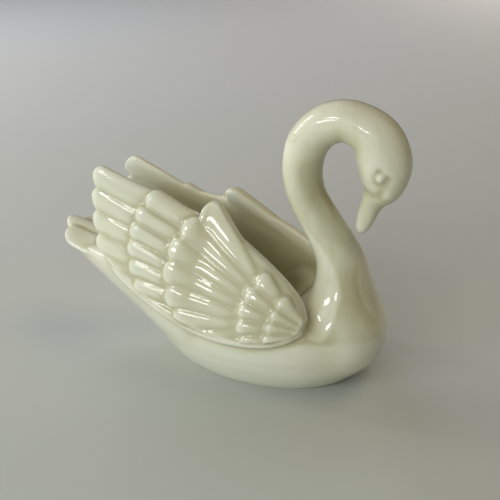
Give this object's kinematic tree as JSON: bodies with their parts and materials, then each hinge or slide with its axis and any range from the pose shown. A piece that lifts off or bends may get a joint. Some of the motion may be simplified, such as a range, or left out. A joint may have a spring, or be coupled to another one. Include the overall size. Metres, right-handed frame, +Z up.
{
  "type": "swan figurine",
  "caption": "Glazed ceramic swan with a curved neck, bowed head and raised feathered wings round an open hollow back, standing on a flat foot; an ornament or small dish.",
  "frame": {"origin": "middle of the whole length and width, on the ground under the flat foot", "axes": "+X the way the swan swims, +Y its left wing, +Z up"},
  "size_m": [0.1139, 0.0485, 0.0857],
  "materials": {
    "cream_glaze": "clear gloss glaze over a cream body"
  },
  "bodies": {
    "root": {"swan": "cream_glaze"}
  },
  "joints": []
}
